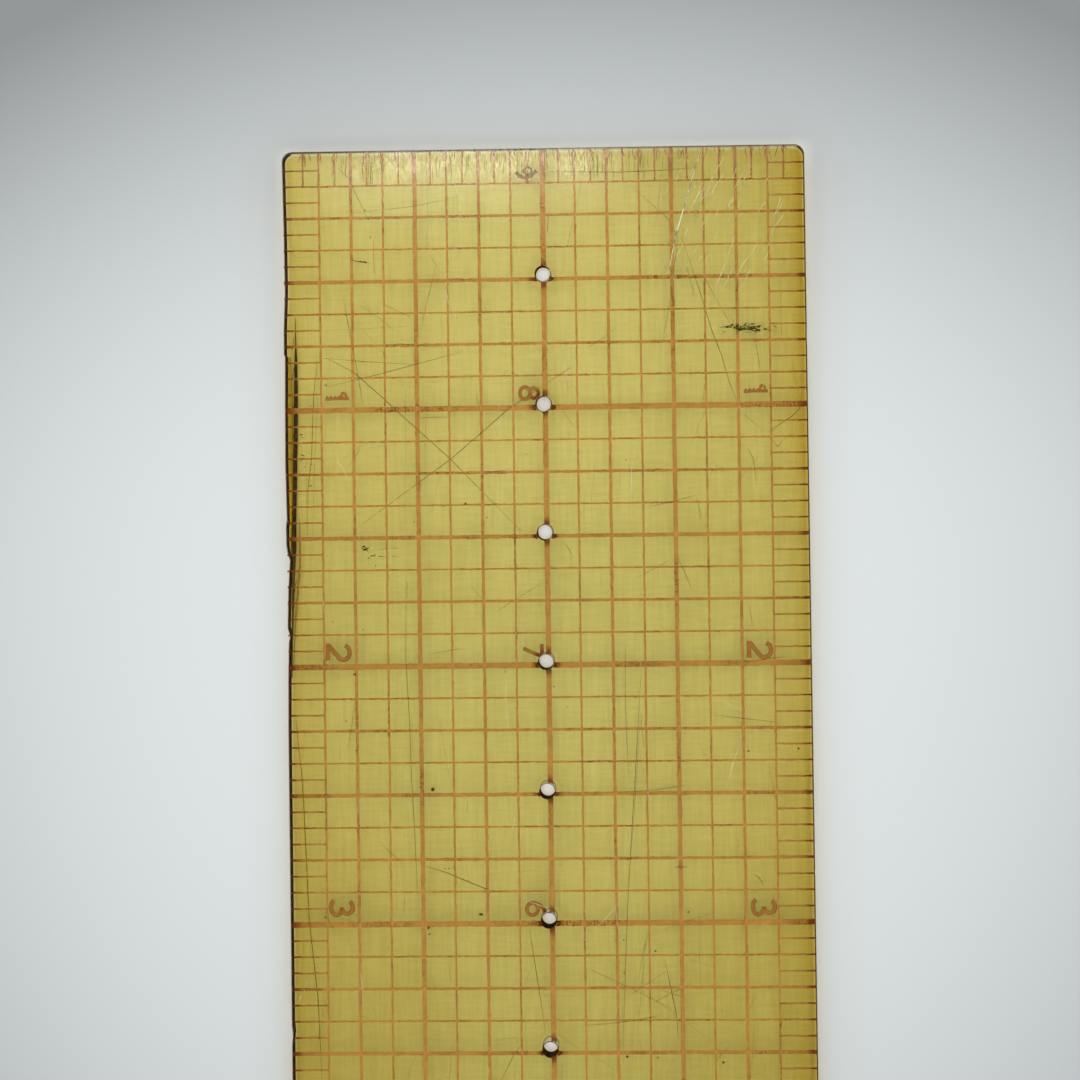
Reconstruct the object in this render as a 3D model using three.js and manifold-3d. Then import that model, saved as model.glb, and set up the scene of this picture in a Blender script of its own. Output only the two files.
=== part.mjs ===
// A clear graph ruler, 18 inches by 2: a thick base sheet, a thin cover film, and the print between them.
// The print has two passes of ink. The crosswise lines lie on the base sheet, and the lengthwise lines
// and the edge scales lie on top of them. Millimetres: X runs from the zero end to the
// 18 inch end, Y from the left edge to the right one, seen from above with the zero end away from the
// reader, and Z up out of the face. The origin is at the middle of the underside.
import * as THREE from "three";
import { mergeVertices } from "three/addons/utils/BufferGeometryUtils.js";
import Module from "manifold-3d";

const wasm = await Module();
wasm.setup();

// The print's own measures
const inch = 25.4;
const inches_long = 18;
const inches_across = 2;
const parts_per_inch = 8;
const pins_per_inch = 2;

// The sheet: the print's size and a margin past it on each side
const end_margin = 0.3;
const side_margin = 0.45;
const base_thickness = 1.25;
const ink_thickness = 0.03125;
const film_thickness = 0.1875;
const corner_radius = 1;
const corner_steps = 3;

// The pin holes, drilled a little off the printed crossings
const hole_radius = 0.8;
const hole_shift_along = -0.37;
const hole_shift_across = -0.24;
const hole_sides = 8;
const ink_to_hole_gap = 0.05;

// Widths of the printed lines
const crosswise_inch_width = 0.56;
const crosswise_half_width = 0.38;
const crosswise_quarter_width = 0.27;
const crosswise_eighth_width = 0.18;
const lengthwise_centre_width = 0.52;
const lengthwise_half_width = 0.42;
const lengthwise_quarter_width = 0.3;
const lengthwise_eighth_width = 0.2;
const tick_width = 0.17;

const print_length = inches_long * inch;
const sheet_length = print_length + 2 * end_margin;
const sheet_width = inches_across * inch + 2 * side_margin;
const zero_x = -print_length / 2;
const part = inch / parts_per_inch;
const parts_per_pin = parts_per_inch / pins_per_inch;
const pin_spaces = Math.round(inches_long * pins_per_inch);
const parts_long = pin_spaces * parts_per_pin;
const part_along = print_length / parts_long;
const parts_to_edge = (inches_across * parts_per_inch) / 2;

const aged_plastic = new THREE.MeshStandardMaterial({
  color: 0xc9b25a,
  roughness: 0.25,
  transparent: true,
  opacity: 0.6,
});
const aged_film = new THREE.MeshStandardMaterial({
  color: 0xd8c878,
  roughness: 0.3,
  transparent: true,
  opacity: 0.35,
});
const crosswise_ink = new THREE.MeshStandardMaterial({ color: 0xb06a2c, roughness: 0.7 });
const lengthwise_ink = new THREE.MeshStandardMaterial({ color: 0xc9853f, roughness: 0.7 });

// A closed three.js geometry as a solid that can be joined and cut.
function solid(geometry) {
  const bare = geometry.clone();
  bare.deleteAttribute("normal");
  bare.deleteAttribute("uv");
  const merged = mergeVertices(bare, 1e-5);
  return new wasm.Manifold(
    new wasm.Mesh({
      numProp: 3,
      vertProperties: new Float32Array(merged.attributes.position.array),
      triVerts: new Uint32Array(merged.index.array),
    }),
  );
}

// Joins solids in pairs, then the pairs, and so on.
function join(solids) {
  let row = solids;
  while (row.length > 1) {
    const next = [];
    for (let i = 0; i < row.length; i += 2) {
      next.push(i + 1 < row.length ? row[i].add(row[i + 1]) : row[i]);
    }
    row = next;
  }
  return row[0];
}

function piece(name, joined, material) {
  const data = joined.getMesh();
  const geometry = new THREE.BufferGeometry();
  geometry.setAttribute("position", new THREE.BufferAttribute(new Float32Array(data.vertProperties), 3));
  geometry.setIndex(new THREE.BufferAttribute(new Uint32Array(data.triVerts), 1));
  geometry.computeVertexNormals();
  const mesh = new THREE.Mesh(geometry, material);
  mesh.name = name;
  return mesh;
}

// A box from its lowest to its highest corner.
function bar(x0, x1, y0, y1, z0, z1) {
  const geometry = new THREE.BoxGeometry(x1 - x0, y1 - y0, z1 - z0);
  geometry.translate((x0 + x1) / 2, (y0 + y1) / 2, (z0 + z1) / 2);
  return solid(geometry);
}

function slab(shape, z0, thickness) {
  const geometry = new THREE.ExtrudeGeometry(shape, { depth: thickness, bevelEnabled: false });
  geometry.translate(0, 0, z0);
  return solid(geometry);
}

// A flat slab made of the filled cells of a grid, given the grid's stops along X and along Y.
function cells(xs, ys, is_filled, z0, z1) {
  const points = [];
  const face = (a, b, c, d) => points.push(...a, ...b, ...c, ...a, ...c, ...d);
  const inside = (i, j) => i >= 0 && j >= 0 && i < xs.length - 1 && j < ys.length - 1 && is_filled(i, j);
  for (let i = 0; i < xs.length - 1; i += 1) {
    for (let j = 0; j < ys.length - 1; j += 1) {
      if (!is_filled(i, j)) continue;
      const [x0, x1, y0, y1] = [xs[i], xs[i + 1], ys[j], ys[j + 1]];
      face([x0, y0, z1], [x1, y0, z1], [x1, y1, z1], [x0, y1, z1]);
      face([x0, y0, z0], [x0, y1, z0], [x1, y1, z0], [x1, y0, z0]);
      if (!inside(i - 1, j)) face([x0, y0, z0], [x0, y0, z1], [x0, y1, z1], [x0, y1, z0]);
      if (!inside(i + 1, j)) face([x1, y0, z0], [x1, y1, z0], [x1, y1, z1], [x1, y0, z1]);
      if (!inside(i, j - 1)) face([x0, y0, z0], [x1, y0, z0], [x1, y0, z1], [x0, y0, z1]);
      if (!inside(i, j + 1)) face([x0, y1, z0], [x0, y1, z1], [x1, y1, z1], [x1, y1, z0]);
    }
  }
  const geometry = new THREE.BufferGeometry();
  geometry.setAttribute("position", new THREE.BufferAttribute(new Float32Array(points), 3));
  return solid(geometry);
}

const part_x = (n) => zero_x + n * part_along;

function hole_centres() {
  const centres = [];
  for (let n = 1; n < pin_spaces; n += 1) {
    centres.push(new THREE.Vector2(part_x(n * parts_per_pin) + hole_shift_along, hole_shift_across));
  }
  return centres;
}

// The outline of the sheet, with its rounded corners and its row of pin holes.
function sheet_shape() {
  const x = sheet_length / 2 - corner_radius;
  const y = sheet_width / 2 - corner_radius;
  const corners = [
    [x, y, 0],
    [-x, y, Math.PI / 2],
    [-x, -y, Math.PI],
    [x, -y, 1.5 * Math.PI],
  ];
  const outline = [];
  for (const [cx, cy, start] of corners) {
    for (let step = 0; step <= corner_steps; step += 1) {
      const angle = start + (step / corner_steps) * (Math.PI / 2);
      outline.push(
        new THREE.Vector2(cx + corner_radius * Math.cos(angle), cy + corner_radius * Math.sin(angle)),
      );
    }
  }
  const shape = new THREE.Shape(outline);
  for (const centre of hole_centres()) {
    const rim = [];
    for (let side = 0; side < hole_sides; side += 1) {
      const angle = (-2 * Math.PI * side) / hole_sides;
      rim.push(
        new THREE.Vector2(centre.x + hole_radius * Math.cos(angle), centre.y + hole_radius * Math.sin(angle)),
      );
    }
    shape.holes.push(new THREE.Path(rim));
  }
  return shape;
}

function base_sheet() {
  return piece("base_sheet", slab(sheet_shape(), 0, base_thickness), aged_plastic);
}

function cover_film() {
  return piece("cover_film", slab(sheet_shape(), 0, film_thickness), aged_film);
}

// The width of the crosswise line that is n eighths from the zero end.
function crosswise_width(n) {
  if (n % parts_per_inch === 0) return crosswise_inch_width;
  if (n % (parts_per_inch / 2) === 0) return crosswise_half_width;
  if (n % (parts_per_inch / 4) === 0) return crosswise_quarter_width;
  return crosswise_eighth_width;
}

// The width of the lengthwise line that is k eighths from the centre line.
function lengthwise_width(k) {
  if (k === 0) return lengthwise_centre_width;
  if (k % (parts_per_inch / 2) === 0) return lengthwise_half_width;
  if (k % (parts_per_inch / 4) === 0) return lengthwise_quarter_width;
  return lengthwise_eighth_width;
}

// One crosswise line in the first pass, edge to edge, and parted where a pin hole goes through it.
function crosswise_line(n) {
  const x = part_x(n);
  const half = crosswise_width(n) / 2;
  const edge = sheet_width / 2;
  const row = (y0, y1) => bar(x - half, x + half, y0, y1, 0, ink_thickness);
  if (n % parts_per_pin !== 0) return [row(-edge, edge)];
  const reach = hole_radius + ink_to_hole_gap;
  return [row(-edge, hole_shift_across - reach), row(hole_shift_across + reach, edge)];
}

// A lengthwise line in the second pass, from end to end.
function lengthwise_line(k) {
  const half = lengthwise_width(k) / 2;
  const end = sheet_length / 2;
  return bar(-end, end, k * part - half, k * part + half, ink_thickness, 2 * ink_thickness);
}

// The centre line, in the stretches that the pin holes leave.
function centre_line() {
  const half = lengthwise_width(0) / 2;
  const reach = hole_radius + ink_to_hole_gap;
  const starts = [-sheet_length / 2];
  const ends = [];
  for (const centre of hole_centres()) {
    ends.push(centre.x - reach);
    starts.push(centre.x + reach);
  }
  ends.push(sheet_length / 2);
  return starts.map((start, i) => bar(start, ends[i], -half, half, ink_thickness, 2 * ink_thickness));
}

// The crosswise lines with the centre line and the two half inch lines that tie them together.
// The first and last eighth lines belong to the end ticks.
function main_grid() {
  const tie = parts_per_inch / 2;
  const lines = [];
  for (let n = 2; n < parts_long - 1; n += 1) lines.push(...crosswise_line(n));
  lines.push(lengthwise_line(-tie), lengthwise_line(tie), ...centre_line());
  return piece("main_grid", join(lines), crosswise_ink);
}

// The stops along a line that has a tick in the middle of each of its eighths.
function tick_stops(start, first_eighth, eighths, eighth, end) {
  const stops = [start];
  for (let n = 0; n < eighths; n += 1) {
    const middle = first_eighth + (n + 0.5) * eighth;
    stops.push(middle - tick_width / 2, middle + tick_width / 2);
  }
  return [...stops, end];
}

// The eighth line nearest an end, with the sixteenth ticks that run out from it to that end.
function end_ticks(name, n, end_x) {
  const half = crosswise_width(n) / 2;
  const xs = [part_x(n) - half, part_x(n) + half, end_x].sort((a, b) => a - b);
  const edge = sheet_width / 2;
  const ys = tick_stops(-edge, -parts_to_edge * part, 2 * parts_to_edge, part, edge);
  const line_column = end_x < 0 ? 1 : 0;
  const is_filled = (i, j) => i === line_column || j % 2 === 1;
  return piece(name, cells(xs, ys, is_filled, 0, ink_thickness), crosswise_ink);
}

// The line an eighth in from one long edge, with the sixteenth ticks that run out from it to that edge.
// side is -1 on the left edge and 1 on the right edge.
function edge_scale(name, side) {
  const line = side * (parts_to_edge - 1) * part;
  const half = lengthwise_width(parts_to_edge - 1) / 2;
  const ys = [line - half, line + half, (side * sheet_width) / 2].sort((a, b) => a - b);
  const end = sheet_length / 2;
  const xs = tick_stops(-end, zero_x, parts_long, part_along, end);
  const line_row = side < 0 ? 1 : 0;
  const is_filled = (i, j) => j === line_row || i % 2 === 1;
  return piece(name, cells(xs, ys, is_filled, ink_thickness, 2 * ink_thickness), lengthwise_ink);
}

function print() {
  const group = new THREE.Group();
  group.add(main_grid());
  group.add(end_ticks("zero_end_ticks", 1, -sheet_length / 2));
  group.add(end_ticks("far_end_ticks", parts_long - 1, sheet_length / 2));
  group.add(edge_scale("left_edge_scale", -1));
  group.add(edge_scale("right_edge_scale", 1));
  const eighths = { 1: "eighth", 2: "quarter", 3: "three_eighth", 5: "five_eighth", 6: "three_quarter" };
  for (const [k, size] of Object.entries(eighths)) {
    group.add(piece(`left_${size}_line`, lengthwise_line(-k), lengthwise_ink));
    group.add(piece(`right_${size}_line`, lengthwise_line(Number(k)), lengthwise_ink));
  }
  return group;
}

const ruler = new THREE.Group();
ruler.add(base_sheet());

const printed = print();
printed.position.z = base_thickness;
ruler.add(printed);

const film = cover_film();
film.position.z = base_thickness + 2 * ink_thickness;
ruler.add(film);

export default ruler;
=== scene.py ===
# The visual model of a clear, aged graph ruler, 18 inches by 2, built round its CAD frame.
# Sizes are in millimetres, and become metres where a piece is made. The stage is in metres.
import math
import random

import bpy
from mathutils import Matrix, Vector


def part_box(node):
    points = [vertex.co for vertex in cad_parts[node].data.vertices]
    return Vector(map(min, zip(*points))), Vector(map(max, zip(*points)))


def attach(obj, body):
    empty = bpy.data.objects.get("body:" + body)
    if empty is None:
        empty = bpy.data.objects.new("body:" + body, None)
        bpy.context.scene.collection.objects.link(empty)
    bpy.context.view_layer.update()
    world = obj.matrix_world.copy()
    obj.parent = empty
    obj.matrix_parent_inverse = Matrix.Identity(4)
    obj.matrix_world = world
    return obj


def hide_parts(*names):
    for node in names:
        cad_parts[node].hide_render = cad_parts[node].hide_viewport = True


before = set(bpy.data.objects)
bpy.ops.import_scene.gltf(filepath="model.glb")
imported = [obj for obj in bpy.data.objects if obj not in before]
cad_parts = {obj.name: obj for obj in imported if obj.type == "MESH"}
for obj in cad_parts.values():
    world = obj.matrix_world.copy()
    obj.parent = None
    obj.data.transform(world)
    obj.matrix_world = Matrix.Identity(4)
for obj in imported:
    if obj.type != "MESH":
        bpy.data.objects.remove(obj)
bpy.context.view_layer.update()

MM = 0.001
X, Y, Z = 0, 1, 2

# The print
inch = 25.4
parts_per_inch = 8
part = inch / parts_per_inch
inches_long = 18
print_length = inches_long * inch
parts_long = inches_long * parts_per_inch
parts_to_edge = 8
pin_pitch = inch / 2
pins = 2 * inches_long - 1

# The sheet, as the CAD nodes have it
base_low, base_high = ([c / MM for c in corner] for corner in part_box("base_sheet"))
film_low, film_high = ([c / MM for c in corner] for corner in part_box("cover_film"))
end_margin = 0.3
zero_x = base_low[X] + end_margin
edge_y = base_high[Y]
corner_radius = 1.0
corner_steps = 8
rim_round = 0.04
film_shine = 0.009

# Heights of the layers between the sheet and the film
crosswise_low = base_high[Z] + 0.003
crosswise_high = crosswise_low + 0.024
lengthwise_low = crosswise_high + 0.004
lengthwise_high = film_low[Z] - 0.003
film_top = film_high[Z] - 0.006
mark_low = film_top + 0.0005
mark_high = film_high[Z] - 0.0005

# The pin holes. The first seven wander from their even spacing as the drilled ones do.
hole_radius = 0.8
hole_sides = 48
hole_shift = (-0.37, -0.24)
first_hole_wander = [
    (-0.14, 0.16),
    (0.03, 0.06),
    (0.0, 0.03),
    (0.05, -0.03),
    (0.04, -0.06),
    (0.03, -0.08),
    (-0.03, -0.11),
]
hole_wander = 0.08
ink_gap = 0.04
rim_thickness = 0.05
rim_depth = 0.12
rim_gap = 0.004
rim_inset = 0.01
drill_low, drill_high = -1, 3

# A wall nearer than this to a hole's middle is the hole's own
near_hole = 1.2

# Share of the light that each face of a printed line stops
ink_cover = 0.42

# Widths of the printed lines
crosswise_widths = {"inch": 0.56, "half": 0.38, "quarter": 0.27, "eighth": 0.18}
lengthwise_widths = {"centre": 0.52, "half": 0.42, "quarter": 0.3, "eighth": 0.2}
tick_width = 0.17

# How unevenly their sides run, how far inside the sheet they end, and how finely each is divided
wander_size = 0.32
line_unevenness = 0.14
tick_unevenness = 0.12
zero_end_inset = 0.2
line_inset = 0.05
crosswise_divisions = (50, 4)
lengthwise_divisions = (90, 12)
tick_divisions = (14,)


# Shaping

def only(obj):
    """Select one object and nothing else."""
    bpy.ops.object.select_all(action="DESELECT")
    obj.select_set(True)
    bpy.context.view_layer.objects.active = obj
    return obj


def named(name):
    obj = bpy.context.object
    obj.name = name
    obj.data.name = name
    return obj


def settle(obj):
    """Put an object's place into its mesh."""
    only(obj)
    bpy.ops.object.transform_apply(location=True, rotation=True, scale=True)
    return obj


def block(name, low, high):
    bpy.ops.object.select_all(action="DESELECT")
    bpy.ops.mesh.primitive_cube_add(size=MM, location=[(a + b) / 2 * MM for a, b in zip(low, high)])
    obj = named(name)
    obj.scale = [b - a for a, b in zip(low, high)]
    return settle(obj)


def leaf(name, x0, x1, y0, y1, z):
    """A flat rectangle."""
    bpy.ops.object.select_all(action="DESELECT")
    bpy.ops.mesh.primitive_plane_add(size=MM, location=((x0 + x1) / 2 * MM, (y0 + y1) / 2 * MM, z * MM))
    obj = named(name)
    obj.scale = (x1 - x0, y1 - y0, 1)
    return settle(obj)


def pick(obj, kind, wanted):
    """Open an object in edit mode with only the wanted vertices, edges or faces selected."""
    only(obj)
    bpy.ops.object.mode_set(mode="EDIT")
    bpy.ops.mesh.select_mode(type=kind)
    bpy.ops.mesh.select_all(action="DESELECT")
    bpy.ops.object.mode_set(mode="OBJECT")
    mesh = obj.data
    for item in {"VERT": mesh.vertices, "EDGE": mesh.edges, "FACE": mesh.polygons}[kind]:
        item.select = wanted(item)
    bpy.ops.object.mode_set(mode="EDIT")


def leave_edit_mode():
    bpy.ops.object.mode_set(mode="OBJECT")


def modify(obj, kind, **settings):
    """Add a modifier and apply it."""
    only(obj)
    modifier = obj.modifiers.new(kind.title(), kind)
    for key, value in settings.items():
        setattr(modifier, key, value)
    bpy.ops.object.modifier_apply(modifier=modifier.name)
    return obj


def joined(name, objects):
    bpy.ops.object.select_all(action="DESELECT")
    for obj in objects:
        obj.select_set(True)
    bpy.context.view_layer.objects.active = objects[0]
    if len(objects) > 1:
        bpy.ops.object.join()
    return named(name)


def runs_along(obj, edge, axis):
    start, end = (obj.data.vertices[i].co for i in edge.vertices)
    return abs((end - start)[axis]) > 0.5 * (end - start).length


def divide(obj, axis, factors):
    """Cut the edges that run along an axis, a factor at a time."""
    for factor in factors:
        pick(obj, "EDGE", lambda edge: runs_along(obj, edge, axis))
        bpy.ops.mesh.subdivide(number_cuts=factor - 1)
        leave_edit_mode()
    return obj


def thicken(obj, thickness):
    """Give a flat leaf its thickness, upwards."""
    return modify(obj, "SOLIDIFY", thickness=thickness * MM, offset=1)


def repeat(obj, axis, pitch, count):
    step = [0, 0, 0]
    step[axis] = pitch * MM
    return modify(
        obj,
        "ARRAY",
        fit_type="FIXED_COUNT",
        count=count,
        use_relative_offset=False,
        use_constant_offset=True,
        constant_offset_displace=step,
    )


def grain_texture(name, size):
    texture = bpy.data.textures.new(name, type="CLOUDS")
    texture.noise_scale = size * MM
    texture.noise_depth = 2
    return texture


line_wander = grain_texture("line_wander", wander_size)


def waver(obj, axis, amount):
    """Make the sides of printed lines uneven."""
    return modify(
        obj,
        "DISPLACE",
        texture=line_wander,
        texture_coords="LOCAL",
        direction="XYZ"[axis],
        mid_level=0.5,
        strength=amount * MM,
    )


def carve(obj, cutter, overlapping=False):
    return modify(
        obj,
        "BOOLEAN",
        operation="DIFFERENCE",
        solver="EXACT",
        object=cutter,
        use_self=overlapping,
    )


# Finishes

class Field:
    """A number or colour that changes over a surface. Arithmetic on it adds Math nodes."""

    def __init__(self, finish, socket):
        self.finish = finish
        self.socket = socket

    def maths(self, operation, *others):
        return self.finish.add("ShaderNodeMath", {"operation": operation}, (self, *others))

    def __add__(self, other):
        return self.maths("ADD", other)

    __radd__ = __add__

    def __mul__(self, other):
        return self.maths("MULTIPLY", other)

    __rmul__ = __mul__

    def __sub__(self, other):
        return self.maths("SUBTRACT", other)

    def __rsub__(self, other):
        return self * -1 + other

    def fade(self, start, end):
        """0 at start, 1 at end, and a smooth way between."""
        inputs = (self, start, end, 0.0, 1.0)
        if start > end:
            inputs = (self, end, start, 1.0, 0.0)
        return self.finish.add("ShaderNodeMapRange", {"interpolation_type": "SMOOTHSTEP"}, inputs)

    def clamp(self):
        return self.maths("MAXIMUM", 0.0).maths("MINIMUM", 1.0)


class Finish:
    """A material in the making, with places on the piece given in millimetres."""

    def __init__(self, name):
        self.material = bpy.data.materials.new(name)
        self.material.use_nodes = True
        self.tree = self.material.node_tree
        self.tree.nodes.clear()
        metres = self.add("ShaderNodeTexCoord", output="Object")
        scaling = {0: metres, "Scale": 1 / MM}
        self.place = self.add("ShaderNodeVectorMath", {"operation": "SCALE"}, scaling)
        self.x, self.y, self.z = (
            self.add("ShaderNodeSeparateXYZ", {}, (self.place,), axis) for axis in "XYZ"
        )

    def add(self, kind, settings=None, inputs=(), output=0):
        node = self.tree.nodes.new(kind)
        for key, value in (settings or {}).items():
            setattr(node, key, value)
        for key, value in inputs.items() if isinstance(inputs, dict) else enumerate(inputs):
            if isinstance(value, Field):
                self.tree.links.new(value.socket, node.inputs[key])
            else:
                node.inputs[key].default_value = value
        return Field(self, node.outputs[output] if node.outputs else None)

    def noise(self, size, detail=2.0, stretch=(1, 1, 1), offset=0.0, roughness=0.5):
        """Soft random patches of about the given size, longer along an axis by its stretch."""
        scale = [1 / (size * s) for s in stretch]
        vector = self.add(
            "ShaderNodeVectorMath",
            {"operation": "MULTIPLY_ADD"},
            (self.place, scale, (offset, offset, offset)),
        )
        return self.add(
            "ShaderNodeTexNoise",
            {},
            {"Vector": vector, "Scale": 1.0, "Detail": detail, "Roughness": roughness},
        )

    def blend(self, factor, first, second):
        """A colour between two."""
        return self.add(
            "ShaderNodeMix",
            {"data_type": "RGBA"},
            {0: factor, 6: colour(first), 7: colour(second)},
            2,
        )

    def mix(self, factor, first, second):
        """A shader between two."""
        return self.add("ShaderNodeMixShader", {}, (factor, first, second))

    def clear(self, tint):
        return self.add("ShaderNodeBsdfTransparent", {}, (colour(tint),))

    def solid(self, base, roughness=0.5, **others):
        inputs = {"Base Color": colour(base), "Roughness": roughness}
        inputs.update({key.replace("_", " "): value for key, value in others.items()})
        return self.add("ShaderNodeBsdfPrincipled", {}, inputs)

    def bump(self, height, distance):
        inputs = {"Strength": 1.0, "Distance": distance * MM, "Height": height}
        return self.add("ShaderNodeBump", {}, inputs)

    def done(self, surface):
        self.add("ShaderNodeOutputMaterial", {}, (surface,))
        return self.material

    def hole_distance(self):
        """How far a point is from the middle of the nearest pin hole."""
        along = (self.x - (zero_x + hole_shift[X])).maths("PINGPONG", pin_pitch / 2)
        last_stretch = -zero_x - pin_pitch / 2
        past_ends = self.x.maths("ABSOLUTE").fade(last_stretch, last_stretch + 1) * pin_pitch
        across = self.y - hole_shift[Y]
        return (along * along + across * across).maths("SQRT") + past_ends

    def from_zero(self):
        return self.x - zero_x

    def from_centre(self):
        return self.y.maths("ABSOLUTE")


def colour(value):
    if isinstance(value, Field) or len(value) == 4:
        return value
    return (*value, 1.0)


def ageing(f):
    """How far the plastic has darkened: more towards its edges, round the pin holes, on the right of the
    zero end and in random patches; more away from the zero end, which is painted shade; and less on the
    left of the zero end, which is a painted sheen.
    """
    u = f.from_zero()
    v = f.from_centre()
    outward = v.fade(3, 22)
    # Darker away from the zero end: painted shade.
    tint_depth = 0.28 + 0.06 * outward + (0.1 + 0.06 * outward) * u.fade(50, 96)
    tint_depth = tint_depth + (0.05 * v.fade(20.8, 22.8) + 0.07 * v.fade(23, 25)) * (0.3 + 0.7 * f.y.fade(-5, 5))
    # Lighter on the left of the zero end: a painted sheen.
    tint_depth = tint_depth + 0.09 * f.hole_distance().fade(1.8, 0.8) - 0.1 * u.fade(10, 3) * f.y.fade(2, -9)
    tint_depth = tint_depth + 0.05 * u.fade(18, 6) * f.y.fade(12, 22)
    tint_depth = tint_depth + 0.1 * (f.noise(9, 3) - 0.5) + 0.2 * (f.noise(0.35, 2, (16, 1, 1)) - 0.5)
    return (tint_depth + 0.16 * (f.noise(0.35, 2, (1, 9, 1), 7) - 0.5) + 0.25 * (f.noise(0.2, 2) - 0.5)).clamp()


def ambering(f):
    """How far the plastic has turned amber next to its long sides: deepest where the right one starts."""
    v = f.from_centre()
    deepest = f.y.fade(-1, 1) * f.from_zero().fade(42, 22)
    return (0.85 * v.fade(24.8, 25.75) + 0.35 * deepest * v.fade(24.2, 25.1)).clamp()


def dulling(f):
    """How far the film has dulled: least on the left of the first inch, which is a painted sheen, and most
    round one rubbed spot, which is real wear.
    """
    u = f.from_zero()
    # Less dull on the left of the first inch: a painted sheen.
    outside_painted_sheen = 1 - (1 - u.fade(24, 46)) * (1 - 0.5 * f.y.fade(3, 17))
    rubbed = u.fade(17.0, 17.9) * u.fade(19.0, 18.1) * f.y.fade(17.8, 19.6) * f.y.fade(23.8, 22.0)
    streaks = 0.9 * (f.noise(0.3, 3, (14, 1, 1), 21) - 0.5) + 0.7 * (f.noise(0.25, 2, (1, 10, 1), 23) - 0.5)
    return (0.1 + 0.28 * outside_painted_sheen + streaks + 0.9 * rubbed * f.noise(0.5, 3).fade(0.3, 0.65)).clamp()


def tinted_face(name, light, deep, share=ageing):
    """A face of clear plastic, which takes its share of the light that crosses it."""
    f = Finish(name)
    return f.done(f.mix(share(f), f.clear(light), f.clear(deep)))


def rubbed_face(name, tint):
    """The glossy top of the film, dulled by fine rubs along the ruler."""
    f = Finish(name)
    rub = f.noise(0.13, 2, (4, 1, 1), 3)
    roughness = 0.075 + 0.08 * rub.fade(0.4, 0.6) + 0.03 * f.noise(4, 2).fade(0.4, 0.7)
    fine = f.bump(f.noise(0.1, 3, (8, 1, 1)), 0.0005)
    gloss = {"Color": colour((1, 0.95, 0.8)), "Roughness": roughness, "Normal": fine}
    shine = f.add("ShaderNodeBsdfGlossy", {}, gloss)
    slant = f.add("ShaderNodeLayerWeight", {}, {"Blend": 0.5}, 1)
    mirror = slant.maths("POWER", 5.0) * 0.96 + film_shine
    return f.done(f.mix(mirror, f.clear(tint), shine))


def cut_wall(name, clear_tint, haze, haze_share, shade, dark_above):
    """A cut wall of clear plastic: it lets light through, and is painted dark where it is seen slantwise
    near its top, a painted shade for how dark the cut edge looks; this painted shade reaches lower and is
    deeper on the left side.
    """
    f = Finish(name)
    slant = f.add("ShaderNodeLayerWeight", {}, {"Blend": 0.5}, 1)
    streaks = f.noise(0.3, 2, (1, 1, 5))
    through = f.mix(haze_share, f.clear(clear_tint), f.solid(haze, 0.5, Specular_IOR_Level=0.0))
    dark = f.blend(streaks.fade(0.35, 0.65), shade, [c * 0.4 for c in shade])
    left = f.y.fade(1, -1)
    height = f.z + 0.3 * f.noise(0.5) + 0.3 * left + 0.4 * left * f.from_zero().fade(40, 50)
    share = slant.fade(0.6, 0.74) * height.fade(*dark_above) * (0.85 + 0.15 * left)
    return f.done(f.mix(share, through, f.solid(dark, 0.5, Specular_IOR_Level=0.0)))


def drilled_wall(name):
    """The wall of a pin hole: painted dark where it is seen slantwise from the air, a painted shade for the
    hole's dark wall and its shadow, and yellow seen through the plastic.
    """
    f = Finish(name)
    inside = f.add("ShaderNodeNewGeometry", output="Backfacing")
    slant = f.add("ShaderNodeLayerWeight", {}, {"Blend": 0.5}, 1)
    dark = f.blend(f.noise(0.3, 2, (1, 1, 5)).fade(0.35, 0.65), (0.05, 0.03, 0.012), (0.02, 0.012, 0.005))
    shaded = f.solid(dark, 0.5, Specular_IOR_Level=0.0)
    from_air = f.mix(slant.fade(0.56, 0.64), f.clear((1.0, 0.995, 0.985)), shaded)
    return f.done(f.mix(inside, from_air, f.clear((0.84, 0.75, 0.38))))


def ink(name, fresh, grain, bead_run, patch, pigment=ink_cover, end_wear=0.3):
    """Printed ink under the film: beaded by the printing mesh in places, stained where air gets in,
    and worn thin at the zero end."""
    stained, faded = (0.19, 0.03, 0.002), (0.82, 0.46, 0.28)
    seen_through, worn_through = (0.93, 0.72, 0.4), (1.0, 0.99, 0.96)
    f = Finish(name)
    worn = f.noise(5, 2, (1, 1, 1), 11).fade(patch - 0.03, patch + 0.14)
    sway = 0.25 * f.noise(0.5, 1, (1, 1, 1), 3)
    beads = (bead_run(f) + sway).maths("PINGPONG", 0.17).fade(0.06, 0.13)
    grains = f.noise(0.2, 2, (1, 1, 1), 5).fade(0.48, 0.6)
    fine = f.noise(0.08, 1, (1, 1, 1), 9).fade(0.4, 0.7)
    dark = (worn * (0.4 * beads + 0.25 * grains) + 0.45 * grains + 0.15 * fine).clamp()
    tone = f.blend(dark, fresh, grain)
    tone = f.blend(0.6 * f.from_zero().fade(3.2, 0.6), tone, faded)
    from_edge = edge_y - f.from_centre()
    stain = 0.8 * from_edge.fade(1.4, 0.1) + 0.35 * from_edge.fade(4.5, 1.2)
    stain = stain + 0.35 * f.from_zero().fade(0.7, -0.2) + 0.9 * f.hole_distance().fade(1.7, 1.0)
    tone = f.blend(stain.clamp(), tone, stained)
    cover = pigment + 0.25 * dark + 0.3 * f.hole_distance().fade(1.5, 0.95)
    printed = f.mix(cover, f.clear(seen_through), f.solid(tone, 0.6, Specular_IOR_Level=0.0))
    return f.done(f.mix(end_wear * f.from_zero().fade(4, 1.8), printed, f.clear(worn_through)))


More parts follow.
